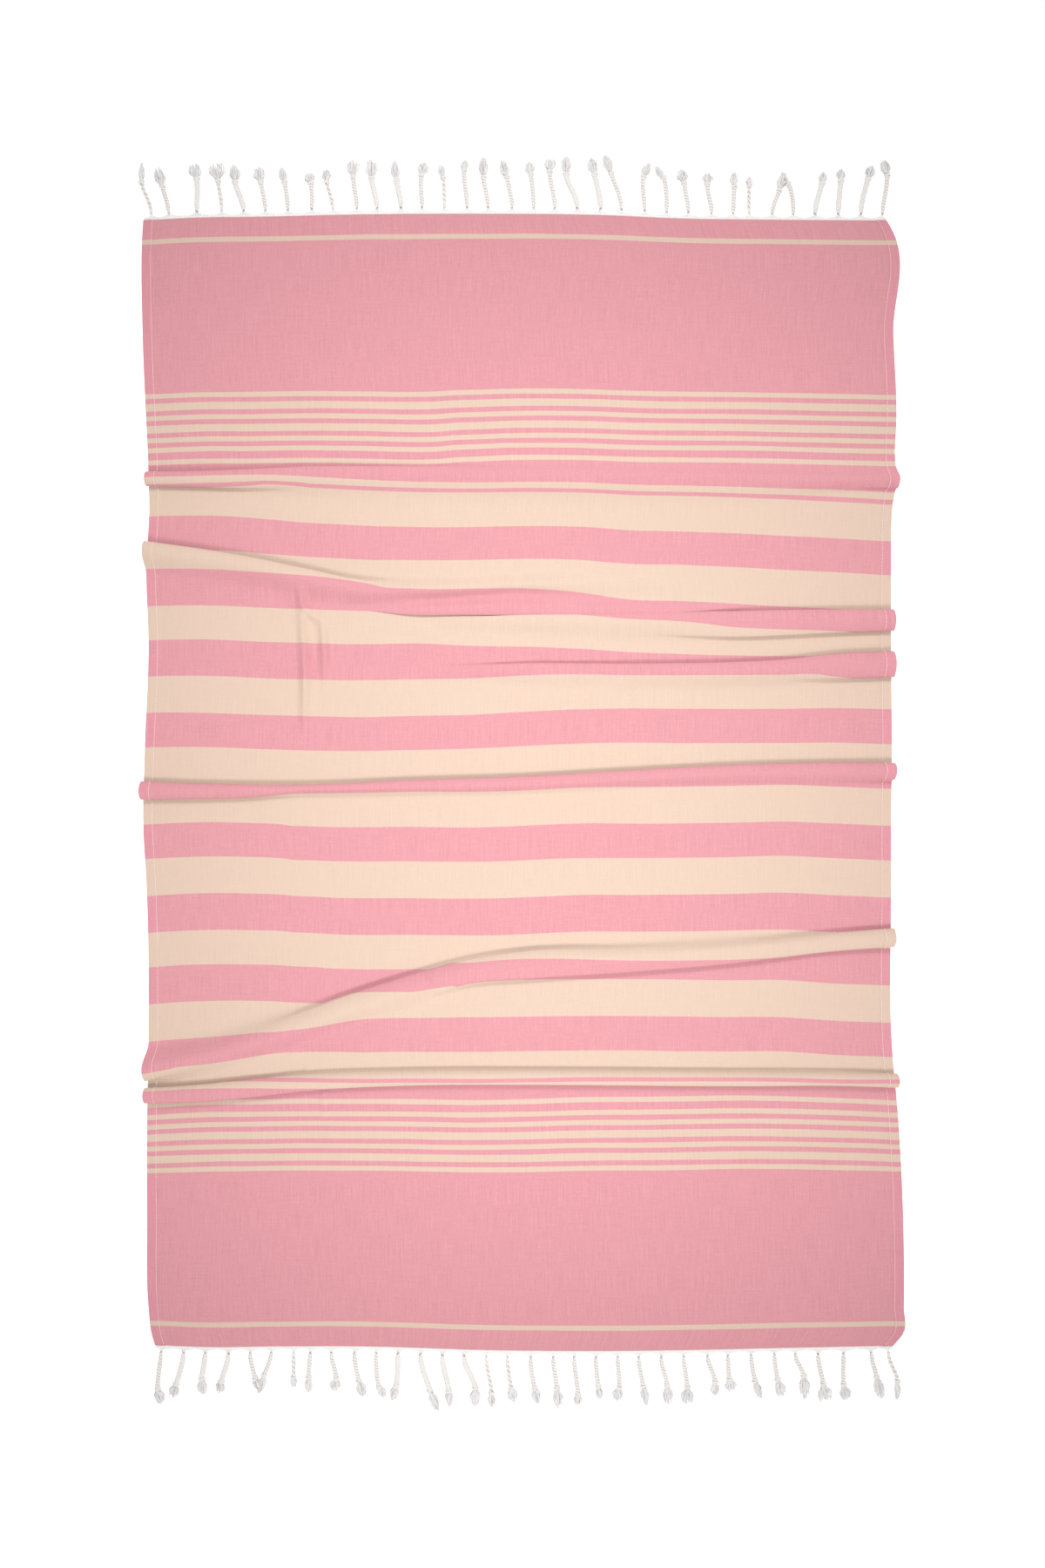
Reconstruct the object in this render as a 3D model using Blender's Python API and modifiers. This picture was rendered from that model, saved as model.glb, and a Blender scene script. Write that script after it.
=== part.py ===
"""Hammam towel: a flat-woven striped cloth laid out on a surface with its folds, and a knotted fringe at each end.

Metres, +Z up. +X runs across the cloth and +Y along it, towards the far fringe. z = 0 is the surface that the
towel lies on. The cloth has hardly any stretch, so each fold is a low hollow roll that laps over the cloth
beside it.
"""

from collections import namedtuple

import bmesh
import bpy
import numpy as np

# Driving sizes
CLOTH_THICKNESS = 0.0010
PIECE_GAP = 0.0004  # between the cloth's woven end and the header band of a fringe
EDGE_FLARE = 0.50  # how far a hemmed side swings out over a fold, as a share of the fold's height
FLARE_POWER = 9  # odd, and the larger it is the closer to the side that swing stays
SIDES_LEVEL = 0.045  # the place along the cloth where its columns are counted off across it

COLUMNS = 21  # rows of faces across the cloth
LAP_SIDE = 0.5  # where a fold laps out furthest, as a share of the way from its crest to its foot
LAP_START = 0.25  # the share of a fold's height at which its lap starts
NO_LAP_HEIGHT = 0.004  # a fold this low has no room to lap, and one of the next height laps in full
FULL_LAP_HEIGHT = 0.010
SIDE_STEPS = (0.18, 0.36, 0.50, 0.67, 0.82, 1.0)  # where a fold's side has rows of points, from crest to foot
CROWDED_SHARE = 0.48  # the most of the way to the next crest that one side of a fold may take
FLAT_ROW_PITCH = 0.055  # largest spacing of the rows between two folds
PITCH_SAMPLES = 9  # places across the cloth where the stretches between folds are measured

HEADER_WIDTH = 0.0045
HEADER_THICKNESS = 0.0018
HEADER_OVERHANG = 0.001  # how far the band runs on past its outermost roots
TASSELS = 34
FIRST_ROOT = {"top": -0.4954, "bottom": -0.4838}
LAST_ROOT = {"top": 0.4803, "bottom": 0.4873}

PINK_COTTON = (0.610, 0.266, 0.296)
PINK_ROUGHNESS = 0.85
NATURAL_COTTON = (0.900, 0.873, 0.850)
NATURAL_ROUGHNESS = 0.9

# Outline of the cloth as it lies: the two woven ends across X, and the two hemmed sides along Y.
End = namedtuple("End", "x top bottom")
ENDS = (
    End(-0.507, 0.750, -0.750),
    End(-0.430, 0.754, -0.753),
    End(-0.350, 0.755, -0.752),
    End(-0.220, 0.758, -0.752),
    End(-0.050, 0.759, -0.757),
    End(0.120, 0.757, -0.758),
    End(0.210, 0.753, -0.757),
    End(0.350, 0.751, -0.754),
    End(0.500, 0.750, -0.751),
)
Side = namedtuple("Side", "y left right")
SIDES = (
    Side(-0.752, -0.490, 0.494),
    Side(-0.735, -0.495, 0.508),
    Side(-0.700, -0.499, 0.509),
    Side(-0.580, -0.501, 0.508),
    Side(-0.455, -0.501, 0.502),
    Side(-0.350, -0.499, 0.493),
    Side(-0.130, -0.502, 0.492),
    Side(-0.060, -0.506, 0.492),
    Side(0.045, -0.504, 0.493),
    Side(0.180, -0.499, 0.492),
    Side(0.290, -0.502, 0.492),
    Side(0.360, -0.498, 0.494),
    Side(0.480, -0.502, 0.499),
    Side(0.600, -0.507, 0.495),
    Side(0.738, -0.507, 0.493),
    Side(0.752, -0.506, 0.485),
)

# The folds from the far end to the near one, each a low roll that laps over the cloth beside it. Each row is a
# place along a fold: its crest, its height, how far it laps out on its upper side (+Y) and its lower side (-Y),
# and how far from the crest the cloth starts to rise on each side. A side with no lap is a plain slope.
Crest = namedtuple("Crest", "x y height lap_up lap_down up down")
FOLDS = {
    "upper_bands": (
        Crest(-0.504, 0.405, 0.0090, 0.008, 0.006, 0.003, 0.008),
        Crest(-0.429, 0.406, 0.0090, 0.008, 0.007, 0.003, 0.012),
        Crest(-0.359, 0.407, 0.0080, 0.007, 0.004, 0.009, 0.023),
        Crest(-0.290, 0.409, 0.0075, 0.006, 0.000, 0.013, 0.033),
        Crest(-0.151, 0.410, 0.0070, 0.004, 0.000, 0.015, 0.038),
        Crest(0.000, 0.410, 0.0070, 0.000, 0.000, 0.020, 0.041),
        Crest(0.139, 0.408, 0.0070, 0.000, 0.000, 0.022, 0.041),
        Crest(0.278, 0.405, 0.0065, 0.000, 0.000, 0.022, 0.038),
        Crest(0.417, 0.403, 0.0070, 0.000, 0.000, 0.022, 0.020),
        Crest(0.505, 0.405, 0.0075, 0.000, 0.004, 0.019, 0.018),
    ),
    "left_tuck": (
        Crest(-0.504, 0.310, 0.0100, 0.009, 0.000, 0.006, 0.033),
        Crest(-0.428, 0.300, 0.0100, 0.008, 0.000, 0.007, 0.034),
        Crest(-0.359, 0.288, 0.0100, 0.008, 0.000, 0.008, 0.033),
        Crest(-0.289, 0.272, 0.0100, 0.008, 0.000, 0.011, 0.033),
        Crest(-0.220, 0.257, 0.0090, 0.006, 0.000, 0.017, 0.024),
        Crest(-0.151, 0.257, 0.0080, 0.000, 0.000, 0.020, 0.021),
        Crest(-0.070, 0.259, 0.0070, 0.000, 0.000, 0.020, 0.020),
        Crest(0.000, 0.263, 0.0060, 0.000, 0.000, 0.019, 0.021),
        Crest(0.070, 0.265, 0.0040, 0.000, 0.000, 0.019, 0.022),
        Crest(0.163, 0.266, 0.0015, 0.000, 0.000, 0.014, 0.021),
        Crest(0.233, 0.266, 0.0000, 0.000, 0.000, 0.012, 0.021),
    ),
    "right_tuck_lip": (
        Crest(-0.209, 0.234, 0.0000, 0.000, 0.000, 0.008, 0.009),
        Crest(-0.151, 0.233, 0.0040, 0.000, 0.006, 0.016, 0.007),
        Crest(-0.070, 0.233, 0.0045, 0.000, 0.006, 0.019, 0.007),
        Crest(0.000, 0.232, 0.0045, 0.000, 0.005, 0.022, 0.008),
        Crest(0.139, 0.230, 0.0045, 0.000, 0.005, 0.019, 0.006),
        Crest(0.209, 0.233, 0.0040, 0.000, 0.005, 0.014, 0.009),
        Crest(0.302, 0.236, 0.0000, 0.000, 0.000, 0.009, 0.009),
    ),
    "right_tuck": (
        Crest(-0.140, 0.217, 0.0000, 0.000, 0.000, 0.009, 0.014),
        Crest(-0.070, 0.217, 0.0025, 0.000, 0.000, 0.009, 0.019),
        Crest(0.000, 0.217, 0.0040, 0.003, 0.000, 0.010, 0.023),
        Crest(0.139, 0.215, 0.0055, 0.006, 0.000, 0.011, 0.029),
        Crest(0.278, 0.215, 0.0075, 0.007, 0.007, 0.014, 0.030),
        Crest(0.417, 0.216, 0.0090, 0.008, 0.007, 0.014, 0.020),
        Crest(0.498, 0.217, 0.0100, 0.008, 0.009, 0.012, 0.011),
    ),
    "short_roll": (
        Crest(-0.186, 0.152, 0.0000, 0.000, 0.000, 0.009, 0.019),
        Crest(-0.070, 0.152, 0.0030, 0.001, 0.000, 0.009, 0.021),
        Crest(0.000, 0.150, 0.0050, 0.005, 0.000, 0.009, 0.024),
        Crest(0.139, 0.150, 0.0070, 0.005, 0.000, 0.008, 0.031),
        Crest(0.278, 0.149, 0.0085, 0.007, 0.000, 0.010, 0.028),
        Crest(0.348, 0.151, 0.0090, 0.008, 0.000, 0.011, 0.028),
        Crest(0.417, 0.156, 0.0095, 0.009, 0.006, 0.014, 0.024),
        Crest(0.498, 0.159, 0.0105, 0.009, 0.009, 0.015, 0.018),
    ),
    "middle": (
        Crest(-0.504, -0.011, 0.0095, 0.008, 0.007, 0.010, 0.009),
        Crest(-0.429, -0.011, 0.0095, 0.006, 0.006, 0.008, 0.009),
        Crest(-0.359, -0.010, 0.0090, 0.005, 0.005, 0.005, 0.009),
        Crest(-0.290, -0.009, 0.0085, 0.005, 0.000, 0.003, 0.010),
        Crest(-0.151, -0.006, 0.0085, 0.007, 0.000, 0.005, 0.012),
        Crest(0.000, -0.002, 0.0085, 0.007, 0.000, 0.007, 0.016),
        Crest(0.139, 0.006, 0.0085, 0.007, 0.000, 0.007, 0.017),
        Crest(0.278, 0.012, 0.0090, 0.007, 0.000, 0.009, 0.019),
        Crest(0.417, 0.014, 0.0095, 0.008, 0.000, 0.010, 0.021),
        Crest(0.498, 0.017, 0.0105, 0.007, 0.004, 0.005, 0.018),
    ),
    "diagonal": (
        Crest(-0.503, -0.381, 0.0130, 0.000, 0.008, 0.035, 0.016),
        Crest(-0.428, -0.366, 0.0130, 0.000, 0.000, 0.035, 0.027),
        Crest(-0.359, -0.345, 0.0125, 0.000, 0.000, 0.035, 0.029),
        Crest(-0.289, -0.320, 0.0115, 0.004, 0.000, 0.030, 0.029),
        Crest(-0.220, -0.296, 0.0110, 0.007, 0.000, 0.025, 0.028),
        Crest(-0.150, -0.273, 0.0110, 0.006, 0.000, 0.024, 0.036),
        Crest(-0.069, -0.249, 0.0105, 0.004, 0.006, 0.023, 0.024),
        Crest(0.000, -0.240, 0.0100, 0.006, 0.009, 0.021, 0.026),
        Crest(0.139, -0.232, 0.0100, 0.002, 0.009, 0.022, 0.024),
        Crest(0.278, -0.222, 0.0100, 0.000, 0.009, 0.020, 0.021),
        Crest(0.417, -0.210, 0.0100, 0.004, 0.007, 0.013, 0.015),
        Crest(0.498, -0.207, 0.0115, 0.008, 0.006, 0.012, 0.011),
    ),
    "lower_bands": (
        Crest(-0.504, -0.417, 0.0100, 0.008, 0.007, 0.005, 0.006),
        Crest(-0.428, -0.413, 0.0100, 0.008, 0.008, 0.008, 0.008),
        Crest(-0.359, -0.406, 0.0095, 0.007, 0.008, 0.011, 0.009),
        Crest(-0.290, -0.398, 0.0090, 0.004, 0.008, 0.013, 0.009),
        Crest(-0.151, -0.392, 0.0090, 0.003, 0.008, 0.012, 0.007),
        Crest(0.000, -0.391, 0.0090, 0.003, 0.008, 0.012, 0.007),
        Crest(0.139, -0.392, 0.0090, 0.003, 0.008, 0.012, 0.007),
        Crest(0.278, -0.393, 0.0090, 0.003, 0.008, 0.012, 0.007),
        Crest(0.417, -0.394, 0.0095, 0.003, 0.007, 0.012, 0.006),
        Crest(0.505, -0.397, 0.0100, 0.005, 0.006, 0.009, 0.007),
    ),
}

# The tassels from left to right, in millimetres: how far the tip lies to the right of its root, and how far out.
MM = 0.001
TASSEL_TIPS = {
    "top": (
        (-10, 72), (-21, 64), (-3, 65), (-4, 67), (-7, 64), (-7, 59), (-4, 59), (2, 50), (-4, 55),
        (4, 67), (-1, 67), (-2, 65), (8, 59), (3, 58), (5, 64), (0, 71), (-4, 65), (0, 63),
        (-1, 67), (-7, 67), (-6, 66), (-15, 72), (10, 63), (0, 62), (-4, 59), (4, 57), (7, 59),
        (-1, 51), (8, 59), (-7, 56), (12, 55), (4, 58), (13, 64), (3, 71),
    ),
    "bottom": (
        (0, 72), (-10, 63), (-3, 59), (-9, 56), (9, 56), (-6, 57), (1, 52), (-7, 57), (-3, 56),
        (6, 59), (5, 62), (-10, 63), (18, 72), (7, 66), (9, 69), (2, 66), (1, 63), (6, 66),
        (2, 72), (-3, 65), (-1, 59), (-6, 58), (3, 64), (2, 66), (-4, 66), (5, 55), (-1, 49),
        (4, 59), (8, 59), (8, 65), (6, 65), (3, 64), (16, 66), (13, 70),
    ),
}
# Cross-sections of a tassel from its root out. A place is measured from the root, or from the tip where negative.
Section = namedtuple("Section", "place width height")
TASSEL_SECTIONS = (
    Section(0.005, 0.0050, 0.0040),  # the gathered threads, now a two-ply cord
    Section(-0.030, 0.0048, 0.0042),  # the cord's end
    Section(-0.0255, 0.0076, 0.0066),  # the knot
    Section(-0.021, 0.0062, 0.0050),  # under the knot
    Section(-0.009, 0.0120, 0.0070),  # the frayed tuft
    Section(0.000, 0.0080, 0.0040),  # its tip
)
ROOT_WIDTH = 0.010
OUTWARD_ENOUGH = 0.7  # the least share of a normal that points away from the cloth on the band's outer side
TOP_SHARE = 0.68  # a tassel's upper side is narrower than the side it rests on
LEAN_LATE = 0.6  # how much of a tassel's lean comes near its tip, the rest being even


def clear_scene():
    for old in list(bpy.data.objects):
        bpy.data.objects.remove(old, do_unlink=True)


def cotton(name, colour, roughness):
    material = bpy.data.materials.new(name)
    material.use_nodes = True
    shader = material.node_tree.nodes["Principled BSDF"]
    shader.inputs["Base Color"].default_value = (*colour, 1.0)
    shader.inputs["Roughness"].default_value = roughness
    shader.inputs["Metallic"].default_value = 0.0
    return material


def add_piece(name, bm, material, collection):
    mesh = bpy.data.meshes.new(name)
    bm.to_mesh(mesh)
    bm.free()
    mesh.materials.append(material)
    piece = bpy.data.objects.new(name, mesh)
    collection.objects.link(piece)
    return piece


def along(rows, place, value, at):
    """A table's column read at any place, on a smooth curve through its rows and level past its ends."""
    places = np.array([getattr(row, place) for row in rows])
    values = np.array([getattr(row, value) for row in rows])
    slopes = np.gradient(values, places)
    left = np.clip(np.searchsorted(places, at) - 1, 0, len(rows) - 2)
    step = places[left + 1] - places[left]
    s = np.clip((at - places[left]) / step, 0.0, 1.0)
    ends = values[left] * (1 + 2 * s) * (1 - s) ** 2 + values[left + 1] * s**2 * (3 - 2 * s)
    return ends + step * (slopes[left] * s * (1 - s) ** 2 - slopes[left + 1] * s**2 * (1 - s))


def fold_at(rows, x):
    """A fold's sizes at x. Its height and laps fade to nothing where it ends, its laps before its height."""
    sizes = {size: float(along(rows, "x", size, x)) for size in Crest._fields[1:]}
    sizes["height"] = max(sizes["height"], 0.0)
    room = min(max((sizes["height"] - NO_LAP_HEIGHT) / (FULL_LAP_HEIGHT - NO_LAP_HEIGHT), 0.0), 1.0)
    for side in ("lap_up", "lap_down"):
        sizes[side] = room * max(sizes[side], 0.0)
    return Crest(x=x, **sizes)


def fold_over(fold, places):
    """How far a fold lifts the cloth at each place along it, and how far it carries it along."""
    from_crest = places - fold.y
    side = np.clip(from_crest / fold.up, 0.0, 1.0) + np.clip(-from_crest / fold.down, 0.0, 1.0)
    lift = np.cos(0.5 * np.pi * side) ** 2
    under = np.clip((lift - LAP_START) / (LAP_SIDE - LAP_START), 0.0, 1.0)
    bulge = np.where(side < LAP_SIDE, np.sin(np.pi * side), np.sin(0.5 * np.pi * under) ** 2)
    lap = np.where(from_crest > 0, fold.lap_up, -fold.lap_down)
    return fold.height * lift, lap * bulge


def column_rows(x, folds, flat_parts):
    """Places along the cloth where the column at x has points: close on the folds, wide between them."""
    top = float(along(ENDS, "x", "top", x))
    bottom = float(along(ENDS, "x", "bottom", x))
    stops = [top] + [fold.y for fold in folds] + [bottom]
    rows = [top]
    for index, (upper, lower) in enumerate(zip(stops, stops[1:])):
        room = CROWDED_SHARE * (upper - lower)
        start, end = upper, lower
        if index > 0:
            start = upper - min(folds[index - 1].down, room)
            rows += [upper - step * (upper - start) for step in SIDE_STEPS]
        if index < len(folds):
            end = lower + min(folds[index].up, room)
        rows += [start + (end - start) * part for part in flat_parts[index]]
        if index < len(folds):
            rows += [lower + step * (end - lower) for step in reversed(SIDE_STEPS)]
        rows.append(lower)
    return rows


def shares_between_folds():
    """Shares of each stretch between folds at which rows lie, from its longest length across the cloth."""
    parts = []
    across = np.linspace(ENDS[0].x, ENDS[-1].x, PITCH_SAMPLES)
    lines = [along(ENDS, "x", "top", across)]
    lines += [along(rows, "x", "y", across) for rows in FOLDS.values()]
    lines += [along(ENDS, "x", "bottom", across)]
    for upper, lower in zip(lines, lines[1:]):
        count = int((upper - lower).max() / FLAT_ROW_PITCH)
        parts.append([(row + 1) / (count + 1) for row in range(count)])
    return parts


def lay_column(share, flat_parts):
    """Points of one column of the cloth's upper face, a share of the way across it, from the top end down."""
    level_left = float(along(SIDES, "y", "left", SIDES_LEVEL))
    level_right = float(along(SIDES, "y", "right", SIDES_LEVEL))
    x_level = level_left + share * (level_right - level_left)
    folds = [fold_at(rows, x_level) for rows in FOLDS.values()]
    places = np.array(column_rows(x_level, folds, flat_parts))
    rise = np.zeros_like(places)
    shift = np.zeros_like(places)
    for fold in folds:
        lift, carry = fold_over(fold, places)
        rise += lift
        shift += carry
    left = along(SIDES, "y", "left", places)
    right = along(SIDES, "y", "right", places)
    flare = EDGE_FLARE * rise * (2 * share - 1) ** FLARE_POWER
    return np.column_stack([left + share * (right - left) + flare, places + shift, CLOTH_THICKNESS + rise])


def make_cloth(columns, collection, material):
    """The woven cloth: a grid whose rows follow the folds, thickened downwards from its upper face."""
    rows = len(columns[0]) - 1
    bm = bmesh.new()
    bmesh.ops.create_grid(bm, x_segments=COLUMNS, y_segments=rows, size=0.5)
    for vert in bm.verts:
        column = round((vert.co.x + 0.5) * COLUMNS)
        row = round((0.5 - vert.co.y) * rows)
        vert.co = columns[column][row]
    cloth = add_piece("cloth", bm, material, collection)
    cloth.data.shade_smooth()
    thicken = cloth.modifiers.new("cloth_thickness", "SOLIDIFY")
    thicken.thickness = CLOTH_THICKNESS
    thicken.offset = -1.0
    return cloth


def header_strip(bm, woven_end, outward, roots):
    """The header band along a woven end, with a face in its outer side for each root. Returns those faces."""
    edges = sorted([root - ROOT_WIDTH / 2 for root in roots] + [root + ROOT_WIDTH / 2 for root in roots])
    edges[0] -= HEADER_OVERHANG
    edges[-1] += HEADER_OVERHANG
    bmesh.ops.create_grid(bm, x_segments=len(edges) - 1, y_segments=1, size=0.5)
    for vert in bm.verts:
        x = edges[round((vert.co.x + 0.5) * (len(edges) - 1))]
        side = PIECE_GAP if vert.co.y * outward < 0 else PIECE_GAP + HEADER_WIDTH
        vert.co = (x, np.interp(x, woven_end[:, 0], woven_end[:, 1]) + outward * side, 0.0)
    raised = bmesh.ops.extrude_face_region(bm, geom=bm.faces[:])
    for item in raised["geom"]:
        if isinstance(item, bmesh.types.BMVert):
            item.co.z = HEADER_THICKNESS
    bmesh.ops.recalc_face_normals(bm, faces=bm.faces[:])
    bm.normal_update()
    outer = [face for face in bm.faces if face.normal.y * outward > OUTWARD_ENOUGH]
    outer.sort(key=lambda face: face.calc_center_median().x)
    return outer[::2]


def grow_tassel(bm, face, root, lean, reach, outward):
    """One strand: its root face drawn out through the tassel's sections, its underside level at z = 0."""
    start = face.calc_center_median()
    for section in TASSEL_SECTIONS:
        place = section.place if section.place > 0 else reach + section.place
        part = place / reach
        middle = lean * part * (1 - LEAN_LATE + LEAN_LATE * part)
        slope = lean / reach * (1 - LEAN_LATE + 2 * LEAN_LATE * part)
        face = bmesh.ops.extrude_discrete_faces(bm, faces=[face])["faces"][0]
        centre = face.calc_center_median()
        for vert in face.verts:
            high = vert.co.z > centre.z
            half = section.width / 2 * (TOP_SHARE if high else 1.0)
            side = half if vert.co.x > centre.x else -half
            along_y = place - side * slope
            vert.co = (root + middle + side, start.y + outward * along_y, section.height if high else 0.0)


def make_fringe(end, woven_end, outward, collection, material):
    """One end's fringe: the header band and the tassels that grow out of it, as one body."""
    roots = np.linspace(FIRST_ROOT[end], LAST_ROOT[end], TASSELS)
    bm = bmesh.new()
    faces = header_strip(bm, woven_end, outward, roots)
    for face, root, (lean, reach) in zip(faces, roots, TASSEL_TIPS[end]):
        grow_tassel(bm, face, root, lean * MM, reach * MM, outward)
    return add_piece("fringe_" + end, bm, material, collection)


def main():
    clear_scene()
    towel = bpy.data.collections.new("hammam_towel")
    bpy.context.scene.collection.children.link(towel)
    flat_parts = shares_between_folds()
    columns = [lay_column(column / COLUMNS, flat_parts) for column in range(COLUMNS + 1)]
    make_cloth(columns, towel, cotton("striped_cotton", PINK_COTTON, PINK_ROUGHNESS))
    natural = cotton("fringe_cotton", NATURAL_COTTON, NATURAL_ROUGHNESS)
    make_fringe("top", np.array([column[0] for column in columns]), 1, towel, natural)
    make_fringe("bottom", np.array([column[-1] for column in columns]), -1, towel, natural)


main()
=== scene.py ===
"""Hammam towel: a flat-woven striped cloth laid out with its folds, and a knotted fringe at each end."""

import math
import random
from collections import namedtuple

import bmesh
import bpy
import numpy as np
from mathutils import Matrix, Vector, kdtree, noise


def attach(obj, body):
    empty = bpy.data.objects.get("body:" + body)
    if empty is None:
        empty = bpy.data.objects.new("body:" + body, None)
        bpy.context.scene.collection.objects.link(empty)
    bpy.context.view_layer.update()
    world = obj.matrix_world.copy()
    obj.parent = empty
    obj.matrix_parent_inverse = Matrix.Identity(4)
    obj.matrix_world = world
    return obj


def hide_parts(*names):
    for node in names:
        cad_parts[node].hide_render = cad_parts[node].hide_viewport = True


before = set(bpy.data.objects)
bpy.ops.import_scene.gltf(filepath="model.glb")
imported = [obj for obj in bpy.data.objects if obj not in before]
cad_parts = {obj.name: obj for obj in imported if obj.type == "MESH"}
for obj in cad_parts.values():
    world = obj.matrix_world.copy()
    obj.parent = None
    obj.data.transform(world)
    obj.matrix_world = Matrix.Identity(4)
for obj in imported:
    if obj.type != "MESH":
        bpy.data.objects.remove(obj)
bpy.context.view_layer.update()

# --------------------------------------------------------------- the cloth
# One length of thin flat-woven cotton, 1.00 x 1.69 m, laid out with seven folds across it. The weft makes
# its stripes, pink fields, thin lines and broad cream bands, over a warp of natural cotton. Both sides are
# turned in twice and sewn, and both ends run out into the fringe.
MM = 0.001
FLAT_WIDTH = 1.0
FLAT_LENGTH = 1.688
CLOTH_THICKNESS = 0.0008
HEM_THICKNESS = 0.0015
HEM_WIDTH = 0.0135
SIDES_LEVEL = 0.045  # the place along the cloth where its columns are counted off across it
EDGE_FLARE = 0.50  # how far a hemmed side swings out over a fold, as a share of the fold's height
FLARE_POWER = 9  # how closely that swing keeps to the side


def table(kind, *rows):
    """Rows of one kind. Places and sizes in them are in millimetres."""
    return [kind(*row) for row in rows]


# The woven ends and the hemmed sides.
End = namedtuple("End", "x top bottom")
ENDS = table(
    End,
    (-507, 750, -750),
    (-430, 754, -753),
    (-350, 755, -752),
    (-220, 758, -752),
    (-50, 759, -757),
    (120, 757, -758),
    (210, 753, -757),
    (350, 751, -754),
    (500, 750, -751),
)
Side = namedtuple("Side", "y left right")
SIDES = table(
    Side,
    (-752, -490, 494),
    (-735, -495, 508),
    (-700, -499, 509),
    (-580, -501, 508),
    (-455, -501, 502),
    (-350, -499, 493),
    (-130, -502, 492),
    (-60, -506, 492),
    (45, -504, 493),
    (180, -499, 492),
    (290, -502, 492),
    (370, -498, 494),
    (405, -499, 499),
    (440, -500, 497),
    (480, -502, 499),
    (600, -507, 495),
    (738, -507, 493),
    (752, -506, 485),
)

# The folds from the far end to the near one, each a low roll of cloth that laps over the cloth beside it.
# Each row is a place along a fold: its crest, its height, how far it laps out on its upper side (+Y) and on
# its lower side (-Y), and how far from the crest the cloth starts to rise on each. A side with no lap is a
# plain slope.
Crest = namedtuple("Crest", "x y height lap_up lap_down up down")
FOLDS = {
    "upper_bands": table(
        Crest,
        (-504, 405, 9, 8, 6, 3, 8),
        (-429, 406, 9, 8, 7, 3, 12),
        (-359, 407, 8, 7, 4, 9, 23),
        (-290, 409, 7.5, 6, 0, 13, 33),
        (-151, 410, 7, 4, 0, 15, 38),
        (0, 410, 7, 0, 0, 20, 41),
        (139, 408, 7, 0, 0, 22, 41),
        (278, 405, 6.5, 0, 0, 22, 38),
        (417, 403, 7, 0, 0, 22, 20),
        (505, 405, 7.5, 0, 4, 19, 18),
    ),
    "left_tuck": table(
        Crest,
        (-504, 310, 10, 9, 0, 6, 33),
        (-428, 300, 10, 8, 0, 7, 34),
        (-359, 288, 10, 8, 0, 8, 33),
        (-289, 272, 10, 8, 0, 11, 33),
        (-220, 257, 9, 6, 0, 17, 24),
        (-151, 257, 8, 0, 0, 20, 21),
        (-70, 259, 7, 0, 0, 20, 20),
        (0, 263, 6, 0, 0, 19, 21),
        (70, 265, 4, 0, 0, 19, 22),
        (163, 266, 1.5, 0, 0, 14, 21),
        (233, 266, 0, 0, 0, 12, 21),
    ),
    "right_tuck_lip": table(
        Crest,
        (-209, 234, 0, 0, 0, 8, 9),
        (-151, 233, 4, 0, 6, 16, 7),
        (-70, 233, 4.5, 0, 6, 19, 7),
        (0, 232, 4.5, 0, 5, 22, 8),
        (139, 230, 4.5, 0, 5, 19, 6),
        (209, 233, 4, 0, 5, 14, 9),
        (302, 236, 0, 0, 0, 9, 9),
    ),
    "right_tuck": table(
        Crest,
        (-140, 217, 0, 0, 0, 9, 14),
        (-70, 217, 2.5, 0, 0, 9, 19),
        (0, 217, 4, 3, 0, 10, 23),
        (139, 215, 5.5, 6, 0, 11, 29),
        (278, 215, 7.5, 7, 7, 14, 30),
        (417, 216, 9, 8, 7, 14, 20),
        (498, 217, 10, 8, 9, 12, 11),
    ),
    "short_roll": table(
        Crest,
        (-186, 152, 0, 0, 0, 9, 19),
        (-70, 152, 3, 1, 0, 9, 21),
        (0, 150, 5, 5, 0, 9, 24),
        (139, 150, 7, 5, 0, 8, 31),
        (278, 149, 8.5, 7, 0, 10, 28),
        (348, 151, 9, 8, 0, 11, 28),
        (417, 156, 9.5, 9, 6, 14, 24),
        (498, 159, 10.5, 9, 9, 15, 18),
    ),
    "middle": table(
        Crest,
        (-504, -11, 9.5, 8, 7, 10, 9),
        (-429, -11, 9.5, 6, 6, 8, 9),
        (-359, -10, 9, 5, 5, 5, 9),
        (-290, -9, 8.5, 5, 0, 3, 10),
        (-151, -6, 8.5, 7, 0, 5, 12),
        (0, -2, 8.5, 7, 0, 7, 16),
        (139, 6, 8.5, 7, 0, 7, 17),
        (278, 12, 9, 7, 0, 9, 19),
        (417, 14, 9.5, 8, 0, 10, 21),
        (498, 17, 10.5, 7, 4, 5, 18),
    ),
    "diagonal": table(
        Crest,
        (-503, -381, 13, 0, 8, 35, 16),
        (-428, -366, 13, 0, 0, 35, 27),
        (-359, -345, 12.5, 0, 0, 35, 29),
        (-289, -320, 11.5, 4, 0, 30, 29),
        (-220, -296, 11, 7, 0, 25, 28),
        (-150, -273, 11, 6, 0, 24, 36),
        (-69, -249, 10.5, 4, 6, 23, 24),
        (0, -240, 10, 6, 9, 21, 26),
        (139, -232, 10, 2, 9, 22, 24),
        (278, -222, 10, 0, 9, 20, 21),
        (417, -210, 10, 4, 7, 13, 15),
        (498, -207, 11.5, 8, 6, 12, 11),
    ),
    "lower_bands": table(
        Crest,
        (-504, -417, 10, 8, 7, 5, 6),
        (-428, -413, 10, 8, 8, 8, 8),
        (-359, -406, 9.5, 7, 8, 11, 9),
        (-290, -398, 9, 4, 8, 13, 9),
        (-151, -392, 9, 3, 8, 12, 7),
        (0, -391, 9, 3, 8, 12, 7),
        (139, -392, 9, 3, 8, 12, 7),
        (278, -393, 9, 3, 8, 12, 7),
        (417, -394, 9.5, 3, 7, 12, 6),
        (505, -397, 10, 5, 6, 9, 7),
    ),
}

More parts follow.
